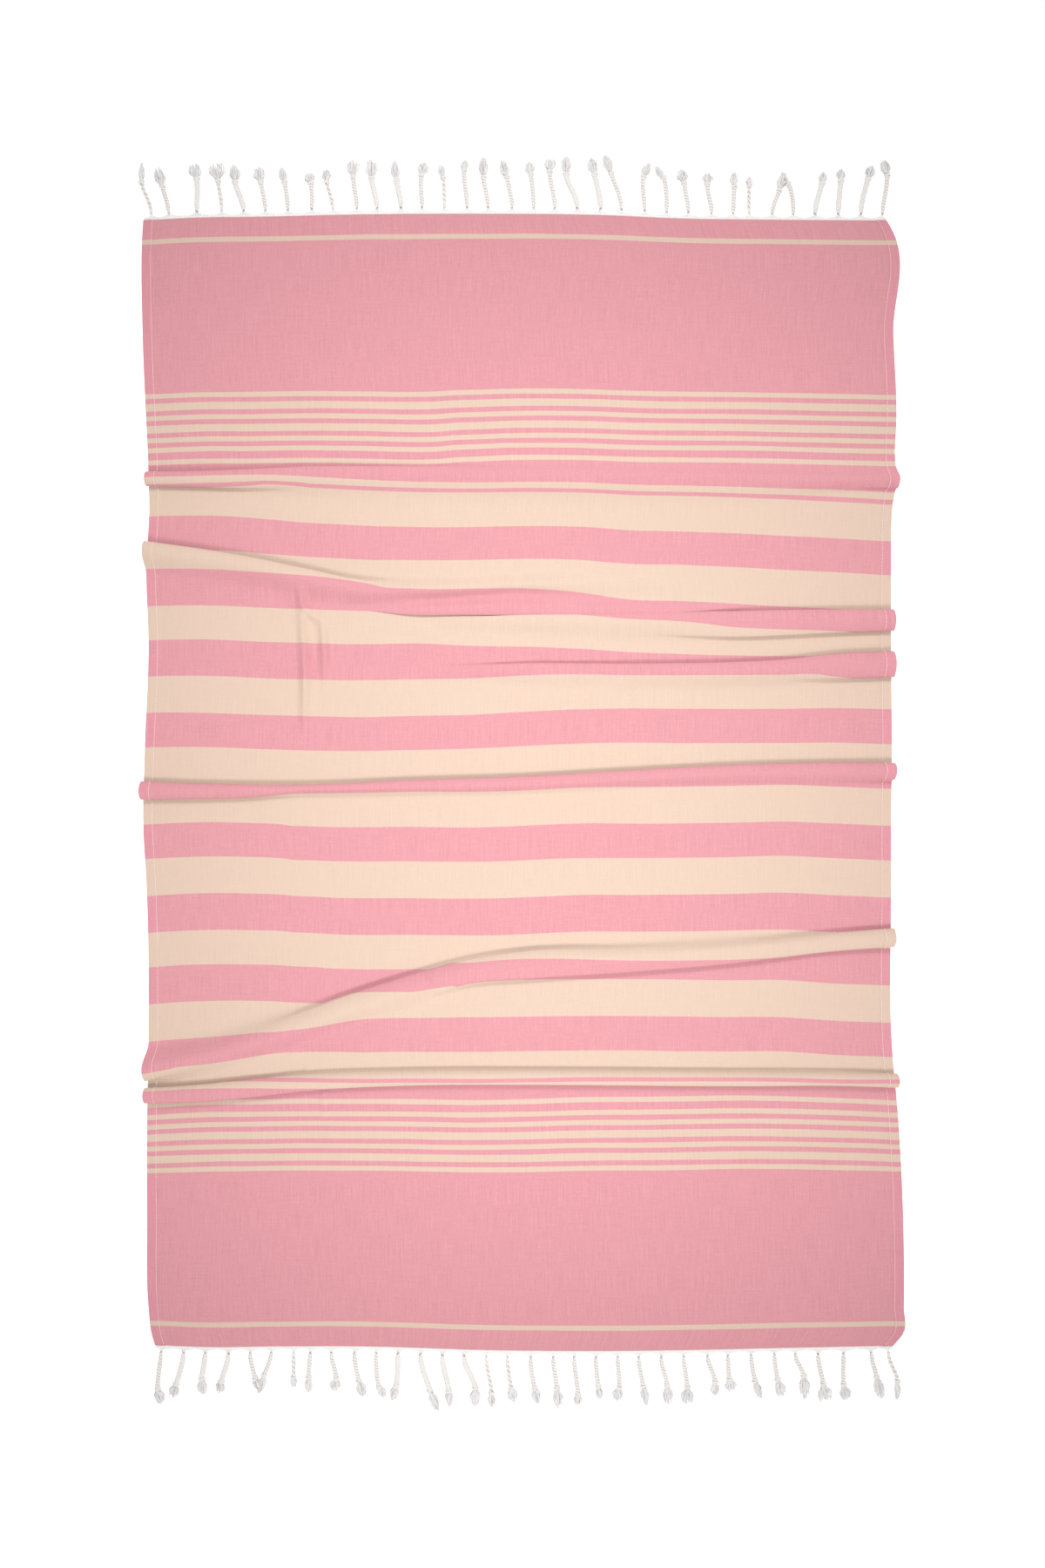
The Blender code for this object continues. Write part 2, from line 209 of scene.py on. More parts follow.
# How much shorter than flat the cloth lies, from its far end to just past each fold. The stripes give it, as
# they are even in the flat cloth. The lip of the right-hand tuck is counted with that tuck.
Shorter = namedtuple(
    "Shorter", "x far_field upper_bands left_tuck right_tuck short_roll middle diagonal lower_bands"
)
SHORTER = table(
    Shorter,
    (-493, 2.5, 40, 65.5, 65.5, 69, 110.5, 134, 180.5),
    (-395, 1, 36, 61.5, 61.5, 64, 109, 136.5, 181),
    (-291, 0, 27, 55, 55.5, 58.5, 104.5, 138, 180.5),
    (-221, -2.5, 22, 50.5, 52.5, 56, 101, 135.5, 178.5),
    (-151, -5.5, 18.5, 40, 53, 56.5, 99.5, 135.5, 177.5),
    (-70, -5, 18, 38, 49.5, 58.5, 98, 134.5, 176.5),
    (0, -4.5, 19.5, 36, 49, 61.5, 100.5, 135.5, 178),
    (70, -4, 19, 28.5, 47, 65.5, 104, 137, 181),
    (140, -4, 17, 19.5, 44.5, 69.5, 105.5, 139, 183.5),
    (209, -2, 19, 20, 45, 72, 109, 141.5, 187.5),
    (279, 0, 17.5, 18.5, 44.5, 73, 111.5, 142, 190),
    (349, 1, 14, 15, 44, 73.5, 113.5, 142.5, 189.5),
    (419, 1.5, 10.5, 12.5, 44.5, 74.5, 111.5, 138.5, 187.5),
    (486, 2, 6, 9, 43, 73, 109, 136.5, 184.5),
)

# The share of what a fold takes up that lies on its upper side, above its crest.
Above = namedtuple("Above", "x upper_bands left_tuck right_tuck short_roll middle diagonal lower_bands")
ABOVE_CREST = table(
    Above,
    (-493, 0.60, 0.80, 0.80, 0.50, 0.50, 0.40, 0.54),
    (-350, 0.65, 0.80, 0.80, 0.50, 0.50, 0.50, 0.50),
    (-220, 0.60, 0.65, 0.80, 0.50, 0.70, 0.58, 0.46),
    (-150, 0.60, 0.56, 0.80, 0.50, 0.86, 0.49, 0.46),
    (0, 0.60, 0.70, 0.80, 0.60, 0.89, 0.46, 0.46),
    (140, 0.60, 0.75, 0.70, 0.60, 0.97, 0.34, 0.46),
    (280, 0.60, 0.75, 0.65, 0.67, 0.96, 0.36, 0.46),
    (420, 0.50, 0.75, 0.50, 0.64, 1.00, 0.50, 0.46),
    (486, 0.40, 0.75, 0.50, 0.50, 1.00, 0.50, 0.50),
)

# Small creases: the height of each one's ridge (a trough where negative), its width from side to side and
# the points of the line that it follows.
Crease = namedtuple("Crease", "height width line")
CREASES = table(
    Crease,
    (8, 13, ((-297, 252), (-293, 213), (-290, 140), (-291, 62))),
    (7, 12, ((-268, 229), (-265, 190), (-263, 132))),
    (6, 12, ((-297, 262), (-293, 238), (-281, 223), (-268, 215))),
    (3, 12, ((-266, -403), (-264, -425), (-263, -450))),
    (-3, 12, ((-322, -378), (-308, -379), (-290, -384))),
    (3.2, 18, ((-9, 53), (64, 103), (151, 137))),
    (2.6, 16, ((60, 53), (134, 117))),
    (1.6, 12, ((-123, 297), (-56, 344))),
    (1.6, 10, ((-288, 320), (-276, 338))),
    (1.4, 12, ((-123, -201), (-76, -163))),
    (1.4, 12, ((-443, -94), (-413, -63))),
    (1.4, 12, ((-470, -194), (-443, -163))),
    (1.4, 12, ((217, -598), (255, -545))),
    (2, 14, ((-150, 217), (-128, 200), (-109, 190))),
    (-4, 17, ((-186, 233), (-140, 241), (-47, 250), (0, 253), (58, 251))),
    (0.7, 9, ((0, 752), (2, 430))),
    (0.7, 9, ((5, -420), (7, -750))),
    (0.6, 8, ((268, 748), (266, 450))),
    (0.6, 8, ((-250, -665), (-250, -746))),
    (0.6, 8, ((255, -672), (255, -745))),
    (0.6, 8, ((421, -655), (421, -722))),
)

CREASE_SHARPNESS = 2.2  # how narrow a crease's ridge is within its width
CREASE_FADE = 0.6  # the power of the arch in which it rises and sinks along its line
LAP_SIDE = 0.5  # where a fold laps out furthest, as a share of the way from its crest to its foot
LAP_START = 0.25  # the share of a fold's height at which its lap starts
SIDES_SHARE = 0.10  # how much of a fold's tucked length its sides take, beside what runs back under it
EVEN_SHARE = 0.0004  # and how much the flat cloth beside it takes
SWELL = 0.0016  # how high the flat cloth lifts off the surface here and there
SWELL_SIZE = 0.11  # how wide such a place is
SWELL_STRETCH = 0.6  # and how long, as a share of that
SWELL_SEED = 3.7
SWELL_END_FADE = 0.05  # how far inside the ends the swell is full
SWELL_SIDE_FADE = 0.03  # and how far inside the sides

# Columns of points across the cloth, as shares of its width: closer where an upright crease or a hem runs.
EVEN_COLUMNS = np.linspace(0.02, 0.98, 87)
HEM_COLUMNS = np.array([0.0, 0.0006, 0.0045, 0.0090, 0.0131, 0.0139, 0.0180])
CREASE_COLUMNS = np.linspace(0.196, 0.256, 19)
PRESS_COLUMNS = np.linspace(0.500, 0.520, 7)
# Rows of points down it: on each side of a fold, as shares of the way from its crest to its foot, and even
# between the folds.
RIDGE_STEPS = (0.08, 0.16, 0.25, 0.34, 0.42, 0.50, 0.58, 0.66, 0.75, 0.87, 1.0)
CROWDED_SHARE = 0.48  # the most of the way to the next fold's crest that one side's rows may take
FLAT_ROW_PITCH = 0.0076
END_ROW = 0.0006  # how far inside a woven end an extra row lies


def along(rows, place, value, at):
    """A table's column at places in metres, on a smooth curve through its rows and level past its ends."""
    places = MM * np.array([getattr(row, place) for row in rows])
    values = np.array([getattr(row, value) for row in rows])
    slopes = np.gradient(values, places)
    left = np.clip(np.searchsorted(places, at) - 1, 0, len(rows) - 2)
    step = places[left + 1] - places[left]
    s = np.clip((at - places[left]) / step, 0.0, 1.0)
    ends = values[left] * (1 + 2 * s) * (1 - s) ** 2 + values[left + 1] * s**2 * (3 - 2 * s)
    return ends + step * (slopes[left] * s * (1 - s) ** 2 - slopes[left + 1] * s**2 * (1 - s))


def rows_between(upper, lower, ridge_above, ridge_below):
    """Rows of points in one stretch of every column: close on the two ridges, even between them."""
    room = CROWDED_SHARE * (upper - lower)
    start, end, rows = upper, lower, []
    if ridge_above:
        start = upper - np.minimum(ridge_above["down"], room)
        rows += [upper - step * (upper - start) for step in RIDGE_STEPS]
    else:
        rows += [upper, upper - END_ROW]
    if ridge_below:
        end = lower + np.minimum(ridge_below["up"], room)
    count = int((start - end).max() / FLAT_ROW_PITCH)
    rows += [start + (end - start) * (row + 1) / (count + 1) for row in range(count)]
    if ridge_below:
        rows += [lower + step * (end - lower) for step in reversed(RIDGE_STEPS)]
        rows.append(lower)
    else:
        rows += [lower + END_ROW, lower]
    return rows


def crease_rise(crease, x, y):
    """How much one small crease lifts the cloth at x, y, fading out towards the ends of its line."""
    line = [MM * Vector(point) for point in crease.line]
    lengths = [(b - a).length for a, b in zip(line, line[1:])]
    total, run = sum(lengths), 0.0
    nearest = np.full(x.shape, np.inf)
    place = np.zeros(x.shape)
    for a, b, length in zip(line, line[1:], lengths):
        part = ((x - a.x) * (b.x - a.x) + (y - a.y) * (b.y - a.y)) / length**2
        part = np.clip(part, 0.0, 1.0)
        away = np.hypot(x - a.x - part * (b.x - a.x), y - a.y - part * (b.y - a.y))
        place = np.where(away < nearest, (run + part * length) / total, place)
        nearest = np.minimum(nearest, away)
        run += length
    profile = np.exp(-((CREASE_SHARPNESS * nearest / (MM * crease.width)) ** 2))
    return MM * crease.height * profile * np.sin(np.pi * place) ** CREASE_FADE


columns = np.concatenate((EVEN_COLUMNS, HEM_COLUMNS, 1 - HEM_COLUMNS, CREASE_COLUMNS, PRESS_COLUMNS))
shares = np.unique(columns.round(5))
level_left = MM * float(along(SIDES, "y", "left", SIDES_LEVEL))
level_right = MM * float(along(SIDES, "y", "right", SIDES_LEVEL))
level = level_left + shares * (level_right - level_left)
ridges = []
for crests in FOLDS.values():
    ridge = {part: MM * along(crests, "x", part, level) for part in Crest._fields[1:]}
    for part in ("height", "lap_up", "lap_down"):
        ridge[part] = np.maximum(ridge[part], 0.0)
    ridges.append(ridge)
top_end, bottom_end = (MM * along(ENDS, "x", end, level) for end in ("top", "bottom"))
feet = [top_end, *(ridge["y"] for ridge in ridges), bottom_end]
rows = []
for index, (upper, lower) in enumerate(zip(feet, feet[1:])):
    above = ridges[index - 1] if index > 0 else None
    below = ridges[index] if index < len(ridges) else None
    rows += rows_between(upper, lower, above, below)
base = np.array(rows)  # a row of points for each row of the cloth, and a column for each share across it


def fold_over(ridge):
    """How far a fold lifts every point, and how far it carries it along the cloth."""
    from_crest = base - ridge["y"]
    side = np.clip(from_crest / ridge["up"], 0.0, 1.0) + np.clip(-from_crest / ridge["down"], 0.0, 1.0)
    lift = np.cos(0.5 * np.pi * side) ** 2
    under = np.clip((lift - LAP_START) / (LAP_SIDE - LAP_START), 0.0, 1.0)
    bulge = np.where(side < LAP_SIDE, np.sin(np.pi * side), np.sin(0.5 * np.pi * under) ** 2)
    lap = np.where(from_crest > 0, ridge["lap_up"], -ridge["lap_down"])
    return ridge["height"] * lift, lap * bulge


rise = np.zeros_like(base)
shift = np.zeros_like(base)
steps = -np.diff(base, axis=0)
excess = {name: np.zeros_like(steps) for name in Shorter._fields[2:]}
hidden = {name: np.zeros_like(steps) for name in excess}
for name, ridge in zip(FOLDS, ridges):
    lift, carry = fold_over(ridge)
    rise += lift
    shift += carry
    runs = np.diff(base + carry, axis=0)
    excess[name.removesuffix("_lip")] += np.hypot(runs, np.diff(lift, axis=0)) - steps
    hidden[name.removesuffix("_lip")] += np.maximum(runs, 0.0)

# How far down the flat cloth each point lies. Down each column, a fold takes up the length of its own path
# over it. What it shortens the cloth beyond that is tucked away where the cloth runs back under the fold, or
# over its sides where it doesn't.
shorter = {name: MM * along(SHORTER, "x", name, level) for name in Shorter._fields[1:]}
places = [base[0]] + [ridge["y"] for name, ridge in zip(FOLDS, ridges) if name in excess] + [base[-1]]
first_fold = ridges[0]["y"] + ridges[0]["up"]
last_fold = ridges[-1]["y"] - ridges[-1]["down"]
cloth_v = base[0] - base
cloth_v += shorter["far_field"] * np.clip((base[0] - base) / (base[0] - first_fold), 0.0, 1.0)
counted = shorter["far_field"]
middle_of_step = (base[1:] + base[:-1]) / 2
for index, name in enumerate(excess):
    between = (middle_of_step < places[index]) & (middle_of_step > places[index + 2])
    weights = hidden[name] + SIDES_SHARE * np.maximum(excess[name], 0.0) + EVEN_SHARE * steps * between
    tucked = shorter[name] - counted - excess[name].sum(axis=0)
    above = along(ABOVE_CREST, "x", name, level)
    upper_side = middle_of_step > places[index + 1]
    for side, share in ((upper_side, above), (~upper_side, 1 - above)):
        taken = tucked * share * (weights * side) / (weights * side).sum(axis=0)
        cloth_v[1:] += np.cumsum(taken, axis=0)
    cloth_v[1:] += np.cumsum(excess[name], axis=0)
    counted = shorter[name]
left_over = FLAT_LENGTH - cloth_v[-1]
cloth_v += left_over * np.clip((last_fold - base) / (last_fold - base[-1]), 0.0, 1.0)
left = MM * along(SIDES, "y", "left", base)
right = MM * along(SIDES, "y", "right", base)
cloth_x = left + shares * (right - left) + EDGE_FLARE * rise * (2 * shares - 1) ** FLARE_POWER
cloth_y = base + shift

cloth_z = rise.copy()
for crease in CREASES:
    cloth_z += crease_rise(crease, cloth_x, cloth_y)
from_end = np.minimum(cloth_v, FLAT_LENGTH - cloth_v)
from_side = FLAT_WIDTH * np.minimum(shares, 1 - shares)
inside = np.clip(from_end / SWELL_END_FADE, 0, 1) * np.clip(from_side / SWELL_SIDE_FADE, 0, 1)
swell = np.zeros_like(base)
for spot in np.ndindex(swell.shape):
    x, y = cloth_x[spot] / SWELL_SIZE, cloth_y[spot] / (SWELL_STRETCH * SWELL_SIZE)
    swell[spot] = max(noise.noise(Vector((x, y, SWELL_SEED))), 0.0)
thickness = np.where(from_side < HEM_WIDTH, HEM_THICKNESS, CLOTH_THICKNESS)
cloth_z = thickness + np.maximum(cloth_z + SWELL * swell * inside, 0.0)


def add_object(name, data):
    made = bpy.data.objects.new(name, data)
    bpy.context.scene.collection.objects.link(made)
    return made


def add_piece(name, bm):
    """The finished mesh as an object in the scene."""
    mesh = bpy.data.meshes.new(name)
    bm.to_mesh(mesh)
    bm.free()
    return add_object(name, mesh)


bm = bmesh.new()
row_count, column_count = base.shape
bmesh.ops.create_grid(bm, x_segments=column_count - 1, y_segments=row_count - 1, size=0.5)
flat_map = bm.loops.layers.uv.new("flat_cloth")
hem_weight = bm.verts.layers.deform.new()
for vert in bm.verts:
    column = round((vert.co.x + 0.5) * (column_count - 1))
    row = round((0.5 - vert.co.y) * (row_count - 1))
    vert.co = (cloth_x[row, column], cloth_y[row, column], cloth_z[row, column])
    vert.index = row * column_count + column
    vert[hem_weight][0] = 1.0 if from_side[column] < HEM_WIDTH else 0.0
for face in bm.faces:
    for loop in face.loops:
        row, column = divmod(loop.vert.index, column_count)
        loop[flat_map].uv = (shares[column] * FLAT_WIDTH, cloth_v[row, column])
cloth = add_piece("striped_cloth", bm)
cloth.data.shade_smooth()
cloth.vertex_groups.new(name="hems")
thicken = cloth.modifiers.new("cloth_thickness", "SOLIDIFY")
thicken.thickness = HEM_THICKNESS
thicken.offset = -1.0
thicken.vertex_group = "hems"
thicken.thickness_vertex_group = CLOTH_THICKNESS / HEM_THICKNESS

# Stripes from a woven end to the middle, in millimetres of flat cloth. The other half mirrors them.
PINK, CREAM = 0.0, 1.0
STRIPES = [(PINK, 24.5), (CREAM, 7.6), (PINK, 200.0)]
STRIPES += [(CREAM, 7.6), (PINK, 7.1)] * 6 + [(CREAM, 7.6), (PINK, 40.0), (CREAM, 8.1), (PINK, 7.0)]
STRIPES += [(CREAM, 49.0), (PINK, 48.0)] * 4 + [(CREAM, 49.0), (PINK, 24.0)]
STRIPE_WANDER = 0.0016  # how far a stripe's edge wanders
PINK_COTTON = (0.610, 0.266, 0.296, 1.0)
PINK_HEM = (0.625, 0.258, 0.302, 1.0)
HEM_BLUR = 0.0005  # half the width over which the hem's pink starts
CREAM_COTTON = (0.615, 0.461, 0.368, 1.0)
CREAM_CALM = 0.55  # how much less uneven the cream looks than the pink
WEAVE_PITCH = 0.0008  # two yarns, one over and one under
YARN_DRIFT = 0.0011  # how far the yarns wander from their lines
DRIFTS_PER_METRE = 70.0
WEAVE_HEIGHT = 0.00007
SLUB_HEIGHT = 0.0003
CRUMPLE_HEIGHT = 0.0006
WEAVE_TONE = 0.035  # how strongly the weave shows in the tone, and then the uneven yarns and the mottle
SLUB_TONE = 0.34
BAR_TONE = 0.14
MOTTLE_TONE = 0.16
SEED_FLECK = (0.520, 0.330, 0.240, 1.0)
FLECKS_PER_METRE = 62.0
FLECK_SIZE = 0.045  # as a share of the distance between two
FLECK_RARITY = 0.80  # the share of their places that stays empty
FLECK_STRENGTH = 0.35

# What is uneven in the cloth: how many to the metre across it and along it, and how much finer detail.
Grain = namedtuple("Grain", "across along detail")
WANDER = Grain(9.0, 60.0, 2.0)
SLUBS = Grain(880.0, 26.0, 4.0)  # the warp's uneven yarns
BARS = Grain(22.0, 900.0, 2.0)  # the weft's
MOTTLE = Grain(300.0, 240.0, 3.0)
CRUMPLE = Grain(70.0, 55.0, 3.0)


def add_node(tree, kind, values=None, **settings):
    """A shader node with its settings and the values or links of its inputs."""
    made = tree.nodes.new("ShaderNode" + kind)
    for name, value in settings.items():
        setattr(made, name, value)
    for name, value in (values or {}).items():
        if isinstance(value, bpy.types.NodeSocket):
            tree.links.new(value, made.inputs[name])
        else:
            made.inputs[name].default_value = value
    return made


def arithmetic(tree, operation, first, second=0.0, third=0.0):
    return add_node(tree, "Math", {0: first, 1: second, 2: third}, operation=operation).outputs[0]


def centred(tree, fac, strength):
    """A noise turned into an unevenness of this strength about zero."""
    return arithmetic(tree, "MULTIPLY_ADD", fac, strength, -strength / 2)


def even_noise(tree, coordinates, per_metre, detail):
    """Noise of the same size every way."""
    made = add_node(tree, "TexNoise", {"Vector": coordinates, "Scale": per_metre, "Detail": detail})
    return made.outputs["Fac"]


def grain_noise(tree, coordinates, grain):
    """Noise drawn out along the cloth or across it."""
    mapped = add_node(tree, "Mapping", {"Vector": coordinates, "Scale": (grain.across, grain.along, 1.0)})
    return even_noise(tree, mapped.outputs[0], 1.0, grain.detail)


def scaled(tree, vector, factor):
    """A colour or a vector times a number."""
    return add_node(tree, "VectorMath", {0: vector, "Scale": factor}, operation="SCALE").outputs[0]


def blend(tree, factor, first, second):
    """A colour between two others."""
    mixed = add_node(tree, "Mix", {"Factor": factor, "A": first, "B": second}, data_type="RGBA")
    return mixed.outputs["Result"]


def new_material(name):
    """A material, with its node tree and its main shader."""
    made = bpy.data.materials.new(name)
    made.use_nodes = True
    return made, made.node_tree, made.node_tree.nodes["Principled BSDF"]


cotton, tree, shader = new_material("striped_cotton_weave")
flat_place = add_node(tree, "UVMap", uv_map="flat_cloth").outputs[0]
flat_axes = add_node(tree, "SeparateXYZ", {0: flat_place})
across, down = flat_axes.outputs["X"], flat_axes.outputs["Y"]
wander = centred(tree, grain_noise(tree, flat_place, WANDER), STRIPE_WANDER)
from_middle = arithmetic(tree, "ABSOLUTE", arithmetic(tree, "SUBTRACT", down, FLAT_LENGTH / 2))
from_middle = arithmetic(tree, "ADD", from_middle, wander)
stripe_place = arithmetic(tree, "MULTIPLY_ADD", from_middle, -2 / FLAT_LENGTH, 1.0)
stripes = add_node(tree, "ValToRGB", {"Fac": stripe_place})
ramp = stripes.color_ramp
ramp.interpolation = "CONSTANT"
edge = 0.0
for index, (shade, width) in enumerate(STRIPES):
    stop = ramp.elements[0] if index == 0 else ramp.elements.new(edge)
    stop.position = edge
    stop.color = (shade, shade, shade, 1.0)
    edge += width * MM * 2 / FLAT_LENGTH
ramp.elements.remove(ramp.elements[-1])  # the stop that a new ramp ends with
is_cream = stripes.outputs["Color"]

off_middle = arithmetic(tree, "ABSOLUTE", arithmetic(tree, "SUBTRACT", across, FLAT_WIDTH / 2))
to_side = arithmetic(tree, "SUBTRACT", FLAT_WIDTH / 2, off_middle)
hem_edge = {"From Min": HEM_WIDTH + HEM_BLUR, "From Max": HEM_WIDTH - HEM_BLUR}
on_hem = add_node(tree, "MapRange", {"Value": to_side, **hem_edge})
pink = blend(tree, on_hem.outputs[0], PINK_COTTON, PINK_HEM)
base_colour = blend(tree, is_cream, pink, CREAM_COTTON)

# The warp's uneven yarns show as fine streaks along the cloth, strongest in the pink, and the weft's more
# faintly across it.
slubs = grain_noise(tree, flat_place, SLUBS)
bars = grain_noise(tree, flat_place, BARS)
mottle = grain_noise(tree, flat_place, MOTTLE)
uneven = centred(tree, slubs, SLUB_TONE)
uneven = arithmetic(tree, "ADD", uneven, centred(tree, bars, BAR_TONE))
uneven = arithmetic(tree, "ADD", uneven, centred(tree, mottle, MOTTLE_TONE))
strength = arithmetic(tree, "MULTIPLY_ADD", is_cream, -CREAM_CALM, 1.0)
uneven = arithmetic(tree, "MULTIPLY", uneven, strength)

# Plain weave: warp and weft yarns cross over and under each other, and wander a little from their lines.
drift = add_node(tree, "TexNoise", {"Vector": flat_place, "Scale": DRIFTS_PER_METRE, "Detail": 1.0})
drift = scaled(tree, drift.outputs["Color"], YARN_DRIFT)
drifted = add_node(tree, "VectorMath", {0: flat_place, 1: drift}, operation="ADD")
yarns = add_node(tree, "SeparateXYZ", {0: drifted.outputs[0]})
turns = 2 * math.pi / WEAVE_PITCH
warp = arithmetic(tree, "SINE", arithmetic(tree, "MULTIPLY", yarns.outputs["X"], turns))
weft = arithmetic(tree, "SINE", arithmetic(tree, "MULTIPLY", yarns.outputs["Y"], turns))
crossing = arithmetic(tree, "MULTIPLY", warp, weft)
tone = arithmetic(tree, "MULTIPLY_ADD", crossing, WEAVE_TONE, 1.0)
tone = arithmetic(tree, "ADD", tone, uneven)
toned = scaled(tree, base_colour, tone)

# Here and there a speck of cotton seed is spun in.
flecks = add_node(tree, "TexVoronoi", {"Vector": flat_place, "Scale": FLECKS_PER_METRE}, feature="F1")
small = arithmetic(tree, "LESS_THAN", flecks.outputs["Distance"], FLECK_SIZE)
chosen = add_node(tree, "SeparateXYZ", {0: flecks.outputs["Color"]})
few = arithmetic(tree, "GREATER_THAN", chosen.outputs["X"], FLECK_RARITY)
fleck = arithmetic(tree, "MULTIPLY", arithmetic(tree, "MULTIPLY", small, few), FLECK_STRENGTH)
tree.links.new(blend(tree, fleck, toned, SEED_FLECK), shader.inputs["Base Color"])

height = arithmetic(tree, "MULTIPLY", crossing, WEAVE_HEIGHT)
height = arithmetic(tree, "ADD", height, arithmetic(tree, "MULTIPLY", slubs, SLUB_HEIGHT))
crumple = grain_noise(tree, flat_place, CRUMPLE)
height = arithmetic(tree, "ADD", height, arithmetic(tree, "MULTIPLY", crumple, CRUMPLE_HEIGHT))
relief = add_node(tree, "Bump", {"Height": height, "Distance": 1.0, "Strength": 0.55})
tree.links.new(relief.outputs[0], shader.inputs["Normal"])
rough = arithmetic(tree, "MULTIPLY_ADD", mottle, 0.12, 0.80)
tree.links.new(rough, shader.inputs["Roughness"])
shader.inputs["Specular IOR Level"].default_value = 0.25
shader.inputs["Sheen Weight"].default_value = 0.12
shader.inputs["Sheen Roughness"].default_value = 0.6
cloth.data.materials.append(cotton)
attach(cloth, "root")
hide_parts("cloth")

# -------------------------------------------------------- the hem stitches
# Each turned-in side is held by one line of machine stitches, in a pale thread that sinks a little into the
# cloth and shows as a fine row of dots along the hem's inner edge.
STITCH_PITCH = 0.0031
STITCH_LENGTH = 0.0024
STITCH_WIDTH = 0.0009
STITCH_LIFT = 0.25  # how far its middle stands out of the cloth, as a share of its width
STITCH_HEIGHT = 0.6  # and how thick it is
STITCH_INSET = 0.0122  # from the side to the line of stitches
THREAD_COLOUR = (0.93, 0.74, 0.74)
THREAD_FIBRES_PER_METRE = 2600.0
THREAD_CONTRAST = 0.3


def on_cloth(u, v):
    """The cloth's upper side at a flat place, with the directions down it and out of it."""
    column = min(int(np.searchsorted(shares, u)) - 1, column_count - 2)
    part = (u - shares[column]) / (shares[column + 1] - shares[column])
    corners = []
    for side in (column, column + 1):
        axes = (axis[:, side] for axis in (cloth_x, cloth_y, cloth_z))
        corners.append([np.interp((v, v + MM), cloth_v[:, side], axis) for axis in axes])
    near, far = (np.array(corner) for corner in corners)
    here = Vector((near[:, 0] * (1 - part) + far[:, 0] * part).tolist())
    below = Vector((near[:, 1] * (1 - part) + far[:, 1] * part).tolist())
    down_it = (below - here).normalized()
    right_of = Vector((far[:, 0] - near[:, 0]).tolist()).normalized()
    return here, down_it, right_of.cross(-down_it).normalized()


def join_part(bm, part):
    """Add one mesh to another."""
    shape = bpy.data.meshes.new("part")
    part.to_mesh(shape)
    part.free()
    bm.from_mesh(shape)
    bpy.data.meshes.remove(shape)


bm = bmesh.new()
stitch = bmesh.new()
bmesh.ops.create_uvsphere(stitch, u_segments=5, v_segments=4, radius=0.5)
for u in (STITCH_INSET / FLAT_WIDTH, 1 - STITCH_INSET / FLAT_WIDTH):
    for number in range(int(FLAT_LENGTH / STITCH_PITCH)):
        here, down_it, out = on_cloth(u, (number + 0.5) * STITCH_PITCH)
        side = down_it.cross(out)
        shaped = stitch.copy()
        for vert in shaped.verts:
            x, y, z = vert.co
            lift = STITCH_WIDTH * (STITCH_LIFT + STITCH_HEIGHT * y)
            vert.co = here + down_it * (z * STITCH_LENGTH) + side * (x * STITCH_WIDTH) + out * lift
        bmesh.ops.recalc_face_normals(shaped, faces=shaped.faces[:])
        join_part(bm, shaped)
stitch.free()
stitches = add_piece("hem_stitches", bm)
stitches.data.shade_smooth()
thread, tree, shader = new_material("sewing_thread")
here = add_node(tree, "TexCoord").outputs["Object"]
strand = even_noise(tree, here, THREAD_FIBRES_PER_METRE, 2.0)
tone = arithmetic(tree, "ADD", centred(tree, strand, THREAD_CONTRAST), 1.0)
tree.links.new(scaled(tree, THREAD_COLOUR, tone), shader.inputs["Base Color"])
relief = add_node(tree, "Bump", {"Height": strand, "Distance": 0.0002, "Strength": 0.5})
tree.links.new(relief.outputs[0], shader.inputs["Normal"])
shader.inputs["Roughness"].default_value = 0.6
shader.inputs["Sheen Weight"].default_value = 0.1
stitches.data.materials.append(thread)
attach(stitches, "root")

# ------------------------------------------------------------- the fringes
# Beyond each woven end the warp yarns run on without weft. A narrow band of them shows as a white header,
# then they gather sideways into 34 groups, each twisted into a two-ply cord, knotted and frayed at its tip.
HEADER_WIDTH = 0.0045
HEADER_THICKNESS = 0.0009
HEADER_GAP = 0.0004
HEADER_STEPS = 220
SIDE_INSET = 0.001  # how far in from the cloth's side the outermost yarn starts
GATHER_OUT = (0.0004, 0.0028, 0.0040, 0.0056, 0.0086, 0.0110)  # how far out a gathering yarn's points are
GATHER_SPREAD = (1.0, 0.98, 0.62, 0.22, 0.10, 0.05)  # and how much of its way to the root it has left
GATHER_YARNS = 18
GATHER_RADIUS = 0.00052
GATHER_HEIGHT = 0.0009
GATHER_HEAP = 0.0012  # how much higher the yarns lie once they are gathered
GATHERED, TWISTED, FRAYED = range(3)  # the yarns' material slots
FULL_TURN = 6.3  # in radians, for chance phases
SAME_POINT = 0.000002  # points of a tube closer than this are one
ROOT_OUT = 0.0080
PLY_RADIUS = 0.0019
PLY_TWIST_RADIUS = 0.0018
PLY_PITCH = 0.0077
PLY_STEPS = 9  # points along a ply in each turn
PATH_STEPS = 12
CORE_STEPS = 60  # points along a cord's core, from which the painted shade in its grooves is measured
OPENING = (0.45, 3.0)  # how far apart the plies lie at the root, as a share of full, and how fast it grows
FILLING = (0.75, 2.0)  # and the same for how thick each ply is
KNOT_RADIUS = 0.0037
KNOT_LENGTH = 0.0052
KNOT_TURNS = 2.1
KNOT_STEPS = 26
KNOT_CROSSING = 0.0006  # how far its turns stray along it
KNOT_STRAND_RADIUS = 0.0016
KNOT_FLATNESS = 0.85
TUFT_START = 0.0010  # how far past the knot's middle a tuft starts
TUFT_START_HEIGHT = 0.0008
TUFT_ROOT_HALF = 0.0019  # half a tuft's width at its knot
TUFT_ROOT_THICKNESS = 0.0030  # its thickness there, and what its swelling adds
TUFT_THICKNESS = 0.0038
TUFT_BASE = 0.0006  # how high its lowest strands lie
TUFT_STRANDS = 30
TUFT_STEPS = 7
STRAND_RADIUS = 0.00055
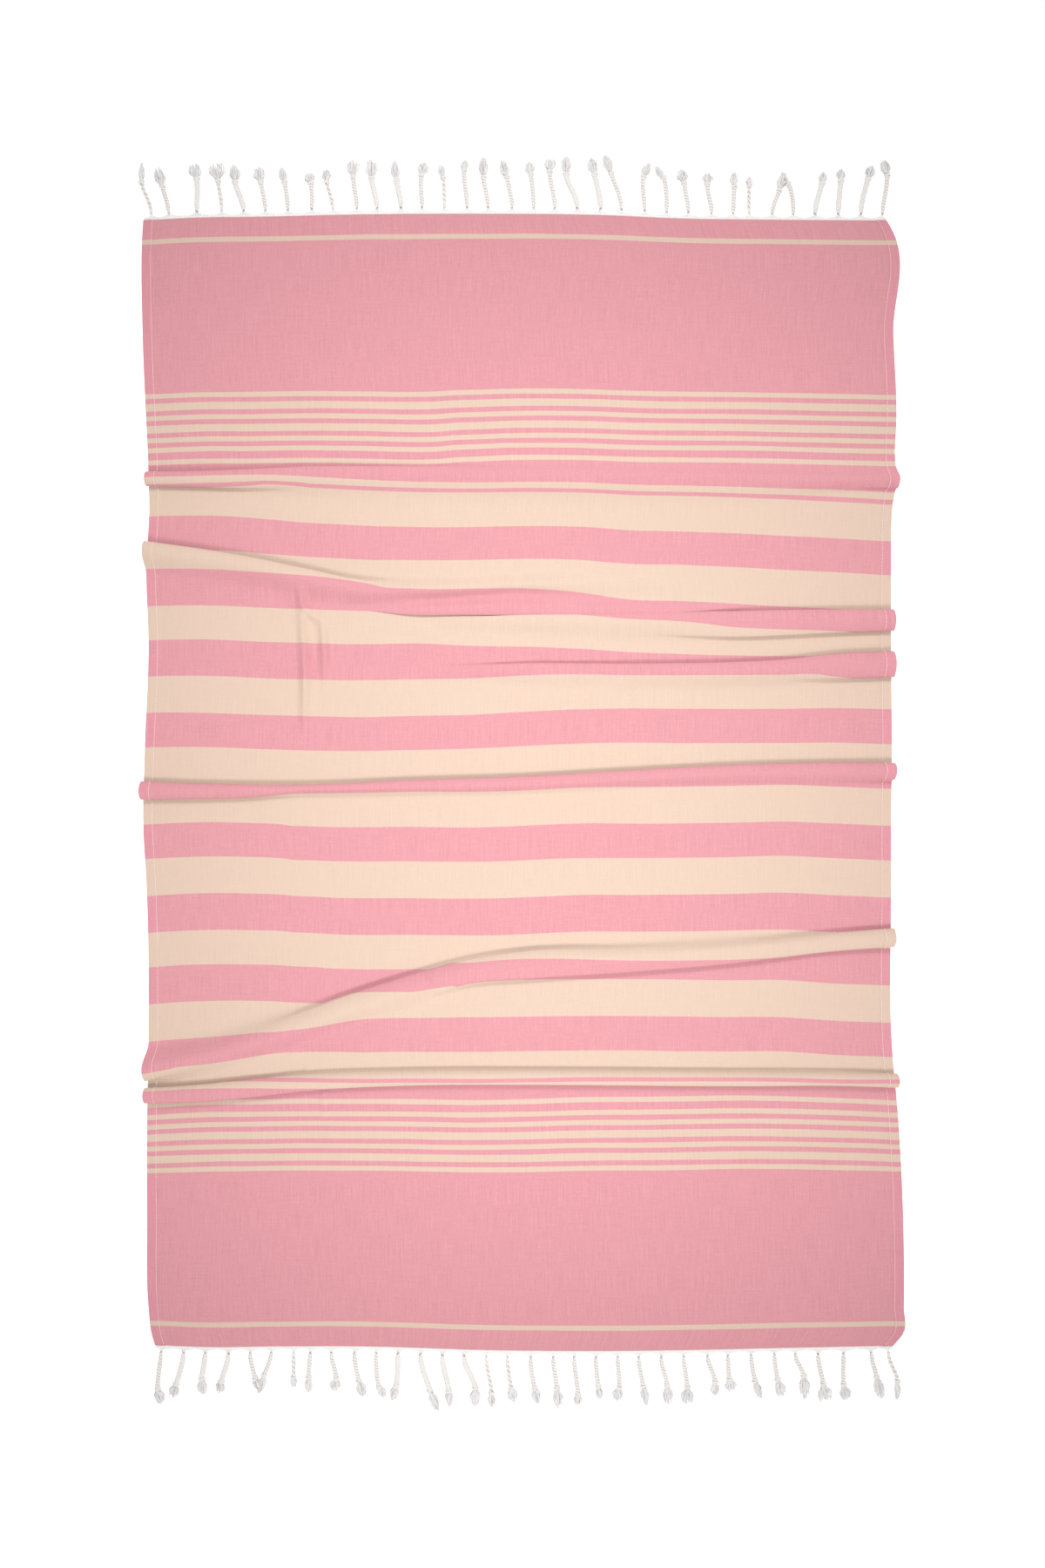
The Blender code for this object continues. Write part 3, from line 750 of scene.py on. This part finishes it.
TUFT_SPLAY = 0.0014  # how far a loose strand's tip strays to one side
TUFT_WAVE = (0.0001, 0.0005)  # how far it waves
TUFT_JITTER = 0.06  # how unevenly the strands are spaced, for half the tuft's width
TUFT_RAGGED = 0.20  # how much shorter the shortest strand is
TUFT_ROUNDNESS = 0.22  # and how much shorter the outer ones are

# From left to right: a tassel's root, its knot and tip to the right of that and out from the cloth, and the
# width of its tuft. Its opening, 0.5 where none is given, is 1 where the tuft is widest at its tip and 0
# where it closes to a point.
Tassel = namedtuple("Tassel", "root knot_right knot_out tip_right tip_out width opening", defaults=(0.5,))
TASSELS = {
    "top": table(
        Tassel,
        (-495, -13, 50, -13, 78, 7, 0.3),
        (-472, -8, 43, -16, 73, 15, 0.4),
        (-434, 0, 50, -6, 74, 17, 0.6),
        (-401, -5, 47, -9, 75, 22, 0.9),
        (-372, -11, 45, -13, 72, 15, 0.4),
        (-343, -6, 45, -11, 68, 16),
        (-313, -4, 44, -10, 67, 10, 0.4),
        (-281, -1, 42, -6, 58, 15, 0.6),
        (-253, -8, 43, -10, 63, 11),
        (-221, -5, 49, -5, 75, 16, 0.9),
        (-194, -7, 46, -8, 75, 15, 0.6),
        (-162, -6, 44, -10, 74, 11, 0.4),
        (-134, -1, 50, 4, 70, 15),
        (-104, -2, 47, -6, 67, 9, 0.4),
        (-74, -4, 57, -2, 73, 11),
        (-46, -6, 47, -6, 79, 13, 0.4),
        (-14, -7, 48, -13, 74, 13, 0.4),
        (15, -4, 51, -7, 71, 13, 0.6),
        (43, -7, 55, -6, 76, 16, 0.7),
        (73, -15, 52, -14, 79, 13, 0.6),
        (104, -8, 52, -13, 78, 13, 0.4),
        (132, -14, 55, -23, 83, 12),
        (163, -2, 52, 7, 73, 12, 0.3),
        (192, -4, 52, -15, 69, 9, 0.3),
        (221, -6, 46, -9, 68, 15),
        (252, -6, 45, -4, 63, 14, 0.6),
        (281, 1, 43, 1, 65, 9),
        (302, 0, 44, 1, 58, 8),
        (333, 9, 38, 17, 67, 11, 0.3),
        (361, -7, 47, -19, 59, 10),
        (390, 9, 48, 13, 66, 11),
        (421, 3, 51, 5, 70, 12),
        (451, 9, 54, 16, 75, 13),
        (480, 6, 59, 2, 82, 14, 0.6),
    ),
    "bottom": table(
        Tassel,
        (-482, -4, 57, 0, 80, 15, 0.6),
        (-452, -9, 49, -17, 71, 13),
        (-423, -4, 41, -4, 66, 14, 0.4),
        (-392, -9, 44, -14, 62, 12),
        (-363, 7, 41, 12, 59, 12, 0.4),
        (-335, -9, 37, -18, 64, 10, 0.4),
        (-305, 0, 40, -1, 56, 8),
        (-283, -2, 40, -2, 63, 10),
        (-255, 7, 42, 3, 62, 14),
        (-224, 6, 45, 12, 68, 13),
        (-195, 4, 53, 12, 68, 10, 0.4),
        (-166, -2, 50, -9, 73, 12, 0.4),
        (-136, 13, 55, 24, 85, 12),
        (-107, 9, 54, 10, 78, 11, 0.4),
        (-78, 15, 49, 15, 77, 13, 0.4),
        (-48, 7, 56, 7, 77, 10),
        (-20, 5, 49, 9, 71, 13),
        (11, 5, 48, 11, 73, 12, 0.4),
        (41, 5, 48, 7, 78, 14),
        (69, 5, 57, 4, 73, 11),
        (98, 3, 46, 6, 66, 9, 0.4),
        (127, 2, 48, -2, 68, 15),
        (155, 6, 46, 11, 75, 11, 0.4),
        (185, 8, 45, 10, 75, 13),
        (215, 5, 48, 5, 74, 17, 0.9),
        (247, 10, 42, 10, 63, 11),
        (274, 2, 39, 5, 57, 16, 0.6),
        (305, 5, 42, 13, 68, 11),
        (336, 4, 40, 11, 67, 14, 0.8),
        (364, 11, 36, 14, 71, 14),
        (394, 7, 48, 11, 74, 20, 0.9),
        (428, 0, 49, 5, 74, 16, 0.7),
        (465, 7, 40, 15, 73, 14, 0.6),
        (488, 12, 46, 12, 74, 7, 0.4),
    ),
}

# How a cord differs: its pitch, its thickness and how strong the painted shade in its grooves is, each as a
# share of the usual.
Twist = namedtuple("Twist", "pitch size groove")
EVEN_TWIST = Twist(1.0, 1.0, 1.0)
HEAVY_TWIST = Twist(0.86, 1.15, 1.0)
SLACK_TWIST = Twist(1.7, 0.92, 0.55)
HEAVY_CORDS = {"top": (2, 4, 10, 11, 19, 20, 30, 31, 32), "bottom": (1, 2, 3, 11, 12, 13, 14)}
SLACK_CORDS = {"top": (0, 3, 8, 13, 27), "bottom": (6, 15, 16, 33)}
CHANCE_SEED = {"top": 11, "bottom": 23}


def add_strand(curve, points, radii):
    """One yarn as an open spline that tapers as its radii do."""
    spline = curve.splines.new("POLY")
    spline.points.add(len(points) - 1)
    for point, (place, radius) in zip(spline.points, zip(points, radii)):
        point.co = (*place, 1.0)
        point.radius = radius / STRAND_RADIUS


def bend(start, start_way, end, end_way, s):
    """A point on the smooth path that leaves start along one way and comes to end along another."""
    length = (end - start).length
    return (
        start * (1 + 2 * s) * (1 - s) ** 2
        + end * s * s * (3 - 2 * s)
        + start_way * (length * s * (1 - s) ** 2)
        - end_way * (length * s * s * (1 - s))
    )


def growing(start_and_rate, s):
    """What grows to full along a cord, as a share of full at a share of the cord's length."""
    start, rate = start_and_rate
    return min(1.0, start + rate * s)


def twist_cord(curve, path, pitch, radius, phase):
    """Two plies wound round each other along a path, thin where they leave the cloth."""
    length = sum((b - a).length for a, b in zip(path, path[1:]))
    count = int(PLY_STEPS * length / pitch)
    for ply in (0.0, math.pi):
        points, radii = [], []
        for step in range(count + 1):
            s = step / count
            place = s * (len(path) - 1)
            index = min(int(place), len(path) - 2)
            way = (path[index + 1] - path[index]).normalized()
            middle = path[index].lerp(path[index + 1], place - index)
            side = Vector((way.y, -way.x, 0.0))
            angle = 2 * math.pi * s * length / pitch + phase + ply
            wide = PLY_TWIST_RADIUS * growing(OPENING, s) * radius
            points.append(middle + side * wide * math.cos(angle) + Vector((0, 0, wide * math.sin(angle))))
            radii.append(PLY_RADIUS * radius * growing(FILLING, s))
        add_strand(curve, points, radii)


def tie_knot(curve, middle, way, size, phase):
    """The turns of a small overhand knot round the cord's end."""
    side = Vector((way.y, -way.x, 0.0))
    up = Vector((0, 0, 1))
    points, radii = [], []
    for step in range(KNOT_STEPS + 1):
        s = step / KNOT_STEPS
        angle = phase + 2 * math.pi * KNOT_TURNS * s
        run = (s - 0.5) * KNOT_LENGTH + KNOT_CROSSING * math.sin(2 * angle)
        # its turns are widest and thickest in the middle
        wide = KNOT_RADIUS * size * (0.35 + 0.65 * math.sin(math.pi * s) ** 0.5)
        across, high = wide * math.cos(angle), KNOT_FLATNESS * wide * math.sin(angle)
        points.append(middle + way * run + side * across + up * high)
        radii.append(KNOT_STRAND_RADIUS * size * (0.6 + 0.4 * math.sin(math.pi * s)))
    add_strand(curve, points, radii)


def fray_tuft(curve, start, tip, tassel, chance):
    """The loose ends beyond the knot: fine strands that spread out and taper."""
    way = (tip - start).normalized()
    side = Vector((way.y, -way.x, 0.0))
    length = (tip - start).length
    half = tassel.width * MM / 2
    for number in range(TUFT_STRANDS):
        place = (number + 0.5) / TUFT_STRANDS * 2 - 1
        place = max(-1.0, min(1.0, place + chance.uniform(-TUFT_JITTER, TUFT_JITTER)))
        high = chance.uniform(0.0, 1.0)
        reach = 1.0 - TUFT_ROUNDNESS * place**2 * (1.4 - tassel.opening) - chance.uniform(0.0, TUFT_RAGGED)
        stray = chance.uniform(-TUFT_SPLAY, TUFT_SPLAY)
        phase = chance.uniform(0, FULL_TURN)
        wave = chance.uniform(*TUFT_WAVE)
        points, radii = [], []
        for step in range(TUFT_STEPS + 1):
            s = step / TUFT_STEPS
            # the tuft swells past its knot and closes in again by its tip
            swell = math.sin(math.pi * (0.10 + 0.52 * s)) ** 0.8
            closing = 1.0 - (1.0 - tassel.opening) * 0.55 * (max(0.0, s - 0.45) / 0.55) ** 1.6
            wide = place * (TUFT_ROOT_HALF * (1 - s) + half * swell * closing * min(1.0, 2.2 * s))
            thick = TUFT_ROOT_THICKNESS * (1 - s) + TUFT_THICKNESS * math.sin(math.pi * (0.25 + 0.65 * s))
            lift = TUFT_BASE + thick * high * (1 - 0.5 * place**2)
            sway = wave * math.sin(phase + 9 * s) + stray * s**2
            points.append(start + way * (length * reach * s) + side * (wide + sway) + Vector((0, 0, lift)))
            radii.append(STRAND_RADIUS * (1.1 - 0.5 * s**3) * (0.8 + 0.4 * high))
        add_strand(curve, points, radii)


def strands_to_bmesh(curve, bm, material_index):
    """The curve's yarns as closed tubes, added to the mesh."""
    carrier = add_object(curve.name, curve)
    shape = bpy.data.meshes.new_from_object(carrier.evaluated_get(bpy.context.evaluated_depsgraph_get()))
    tubes = bmesh.new()
    tubes.from_mesh(shape)
    bmesh.ops.remove_doubles(tubes, verts=tubes.verts[:], dist=SAME_POINT)
    for face in tubes.faces:
        face.material_index = material_index
        face.smooth = True
    join_part(bm, tubes)
    bpy.data.meshes.remove(shape)
    bpy.data.objects.remove(carrier)
    bpy.data.curves.remove(curve)


def new_strands(name):
    """An empty curve that draws each strand as a round tube."""
    curve = bpy.data.curves.new(name, "CURVE")
    curve.dimensions = "3D"
    curve.bevel_depth = STRAND_RADIUS
    curve.bevel_resolution = 1
    curve.use_fill_caps = True
    curve.twist_mode = "MINIMUM"
    return curve


def lay_header(bm, end_x, end_y, outward):
    """The band itself: a thin strip just outside the woven end."""
    strip = bmesh.new()
    bmesh.ops.create_grid(strip, x_segments=HEADER_STEPS, y_segments=1, size=0.5)
    for vert in strip.verts:
        x = end_x[0] + (vert.co.x + 0.5) * (end_x[-1] - end_x[0])
        out = HEADER_GAP if vert.co.y * outward < 0 else HEADER_WIDTH
        vert.co = (x, np.interp(x, end_x, end_y) + outward * out, 0.0)
    raised = bmesh.ops.extrude_face_region(strip, geom=strip.faces[:])
    for item in raised["geom"]:
        if isinstance(item, bmesh.types.BMVert):
            item.co.z = HEADER_THICKNESS
    bmesh.ops.recalc_face_normals(strip, faces=strip.faces[:])
    join_part(bm, strip)


def knot_fringe(end, row, outward):
    """One end's fringe as a single piece: header, gathered yarns, cords, knots and tufts."""
    chance = random.Random(CHANCE_SEED[end])
    end_x, end_y = cloth_x[row], cloth_y[row]
    roots = [tassel.root * MM for tassel in TASSELS[end]]
    between = [(a + b) / 2 for a, b in zip(roots, roots[1:])]
    bounds = [end_x[0] + SIDE_INSET, *between, end_x[-1] - SIDE_INSET]
    gathers = new_strands("gathers")
    cords = new_strands("cords")
    cores = kdtree.KDTree((CORE_STEPS + 1) * len(roots))
    core_widths = []
    tufts = new_strands("tufts")

    def place(x, out, z):
        return Vector((x, float(np.interp(x, end_x, end_y)) + outward * out, z))

    for number, tassel in enumerate(TASSELS[end]):
        root = roots[number]
        low, high = bounds[number], bounds[number + 1]
        for yarn in range(GATHER_YARNS):
            x = low + (high - low) * (yarn + 0.5) / GATHER_YARNS
            away = x - root
            points = []
            for out, spread in zip(GATHER_OUT, GATHER_SPREAD):  # yarns side by side differ a little
                lift = GATHER_HEIGHT + GATHER_HEAP * (1 - spread) * (0.6 + 0.4 * (yarn % 3))
                points.append(place(root + away * spread, out * (0.94 + 0.02 * (yarn % 4)), lift))
            add_strand(gathers, points, [GATHER_RADIUS] * len(points))
        twist = EVEN_TWIST
        if number in HEAVY_CORDS[end]:
            twist = HEAVY_TWIST
        if number in SLACK_CORDS[end]:
            twist = SLACK_TWIST
        size = twist.size
        start = place(root, ROOT_OUT, (PLY_RADIUS + PLY_TWIST_RADIUS) * size)
        knot_height = (KNOT_FLATNESS * KNOT_RADIUS + KNOT_STRAND_RADIUS) * size**0.5
        knot = place(root + tassel.knot_right * MM, tassel.knot_out * MM, knot_height)
        tip = place(root + tassel.tip_right * MM, tassel.tip_out * MM, 0.0)
        tuft_way = Vector((tip.x - knot.x, tip.y - knot.y, 0.0)).normalized()
        first_way = Vector((0.0, outward, 0.0))
        last_way = (tuft_way + (knot - start).normalized()).normalized()
        path = [bend(start, first_way, knot, last_way, s / PATH_STEPS) for s in range(PATH_STEPS + 1)]
        for step in range(CORE_STEPS + 1):
            s = step / CORE_STEPS
            cores.insert(bend(start, first_way, knot, last_way, s), len(core_widths))
            width = PLY_RADIUS * growing(FILLING, s) + PLY_TWIST_RADIUS * growing(OPENING, s)
            core_widths.append(size * twist.groove * width)
        twist_cord(cords, path, PLY_PITCH * twist.pitch, size, chance.uniform(0, FULL_TURN))
        tie_knot(cords, knot, tuft_way, size**0.5, chance.uniform(0, FULL_TURN))
        tuft_start = Vector((knot.x, knot.y, TUFT_START_HEIGHT)) + tuft_way * TUFT_START
        fray_tuft(tufts, tuft_start, tip, tassel, chance)
    bm = bmesh.new()
    lay_header(bm, end_x, end_y, outward)
    strands_to_bmesh(gathers, bm, GATHERED)
    strands_to_bmesh(cords, bm, TWISTED)
    strands_to_bmesh(tufts, bm, FRAYED)
    cores.balance()
    # each cord point's distance from its core, as a share of the cord's width, sets the painted shade in its
    # grooves
    from_core = bm.verts.layers.float.new("from_core")
    for face in bm.faces:
        if face.material_index == TWISTED:
            for vert in face.verts:
                core, away = cores.find(vert.co)[1:]
                vert[from_core] = away / core_widths[core]
    fringe = add_piece("knotted_fringe_" + end, bm)
    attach(fringe, "root")
    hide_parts("fringe_" + end)
    return fringe


# An undyed yarn: its colour, its fibres per metre across and along it, and how strong and deep they look.
Yarn = namedtuple("Yarn", "colour across along contrast depth")
GATHERED_YARN = Yarn((0.90, 0.873, 0.85), 1900.0, 700.0, 0.12, 0.00012)
TWISTED_YARN = Yarn((0.82, 0.79, 0.755), 1900.0, 900.0, 0.16, 0.00016)
FRAYED_YARN = Yarn((0.81, 0.79, 0.785), 2200.0, 260.0, 0.44, 0.0001)
MEAN_TONE = 0.98
PATCHES_PER_METRE = 90.0
PATCH_TONE = 0.05
# the colour of the painted shade in a cord's grooves
GROOVE_SHADE_COLOUR = (0.33, 0.26, 0.22, 1.0)
GROOVE_TOP = 0.86  # how far from a cord's core the painted groove shade starts, as a share of its width
GROOVE_FLOOR = 0.42  # and where that painted shade is darkest


def natural_yarn(name, look):
    """Undyed cotton: slightly uneven in tone, with fine fibres over it that run with the yarn."""
    yarn, tree, shader = new_material(name)
    here = add_node(tree, "TexCoord").outputs["Object"]
    drawn_out = add_node(tree, "Mapping", {"Vector": here, "Scale": (look.across, look.along, look.across)})
    fibres = even_noise(tree, drawn_out.outputs[0], 1.0, 3.0)
    patches = even_noise(tree, here, PATCHES_PER_METRE, 1.0)
    tone = arithmetic(tree, "ADD", centred(tree, fibres, look.contrast), MEAN_TONE)
    tone = arithmetic(tree, "ADD", tone, centred(tree, patches, PATCH_TONE))
    tree.links.new(scaled(tree, look.colour, tone), shader.inputs["Base Color"])
    relief = add_node(tree, "Bump", {"Height": fibres, "Distance": look.depth, "Strength": 0.6})
    tree.links.new(relief.outputs[0], shader.inputs["Normal"])
    rough = arithmetic(tree, "MULTIPLY_ADD", fibres, 0.1, 0.8)
    tree.links.new(rough, shader.inputs["Roughness"])
    shader.inputs["Specular IOR Level"].default_value = 0.3
    shader.inputs["Sheen Weight"].default_value = 0.15
    shader.inputs["Sheen Roughness"].default_value = 0.5
    return yarn


warp_yarn = natural_yarn("gathered_natural_yarn", GATHERED_YARN)
cord_yarn = natural_yarn("twisted_natural_yarn", TWISTED_YARN)
loose_yarn = natural_yarn("frayed_natural_yarn", FRAYED_YARN)

# Painted shade: the cord yarn's colour is darkened and warmed towards a cord's core, where less light
# reaches the grooves between its plies.
tree = cord_yarn.node_tree
surface = tree.nodes["Principled BSDF"].inputs["Base Color"]
out = add_node(tree, "Attribute", attribute_name="from_core").outputs["Fac"]
painted_groove_shade = add_node(tree, "MapRange", {"Value": out, "From Min": GROOVE_TOP, "From Max": GROOVE_FLOOR})
tree.links.new(blend(tree, painted_groove_shade.outputs[0], surface.links[0].from_socket, GROOVE_SHADE_COLOUR), surface)

fringes = [knot_fringe("top", 0, 1), knot_fringe("bottom", -1, -1)]
for fringe in fringes:
    for yarn in (warp_yarn, cord_yarn, loose_yarn):
        fringe.data.materials.append(yarn)

# -------------------------------------------------------------- the studio
# A plain white floor in a bright white room, with a wide soft light beyond each end of the towel, aimed at
# its middle. The camera looks straight down.
FLOOR_HALF = 4.0
FLOOR_DROP = 0.0002  # how far under the cloth it lies
LAMP_RIGHT, LAMP_AWAY, LAMP_HEIGHT = 0.12, 1.6, 1.4
LAMP_AIM = 0.15  # how far out from the towel's centre each lamp points
CAMERA_PLACE = (0.0, -0.0017, 2.3)

bpy.context.scene.view_settings.view_transform = "Standard"
bm = bmesh.new()
bmesh.ops.create_grid(bm, x_segments=1, y_segments=1, size=FLOOR_HALF)
floor = add_piece("floor", bm)
floor.location.z = -FLOOR_DROP
paper, tree, shader = new_material("white_paper")
shader.inputs["Base Color"].default_value = (0.90, 0.90, 0.90, 1.0)
shader.inputs["Roughness"].default_value = 0.9
shader.inputs["Specular IOR Level"].default_value = 0.1
shader.inputs["Emission Color"].default_value = (1.0, 1.0, 1.0, 1.0)
shader.inputs["Emission Strength"].default_value = 0.50
floor.data.materials.append(paper)

for name, side in (("far_softbox", 1), ("near_softbox", -1)):
    lamp = bpy.data.lights.new(name, "AREA")
    lamp.shape = "RECTANGLE"
    lamp.size = 1.2
    lamp.size_y = 0.6
    lamp.spread = math.radians(50)
    lamp.energy = 3.48
    softbox = add_object(name, lamp)
    softbox.location = (LAMP_RIGHT, side * LAMP_AWAY, LAMP_HEIGHT)
    aim = Vector((0.0, side * LAMP_AIM, 0.0)) - softbox.location
    softbox.rotation_euler = aim.to_track_quat("-Z", "Y").to_euler()
world = bpy.data.worlds.new("studio_air")
world.use_nodes = True
world.node_tree.nodes["Background"].inputs["Color"].default_value = (1.0, 1.0, 1.0, 1.0)
world.node_tree.nodes["Background"].inputs["Strength"].default_value = 0.67
bpy.context.scene.world = world

lens = bpy.data.cameras.new("overhead_camera")
lens.lens = 39.56
lens.sensor_width = 36.0
camera = add_object("overhead_camera", lens)
camera.location = CAMERA_PLACE
bpy.context.scene.camera = camera
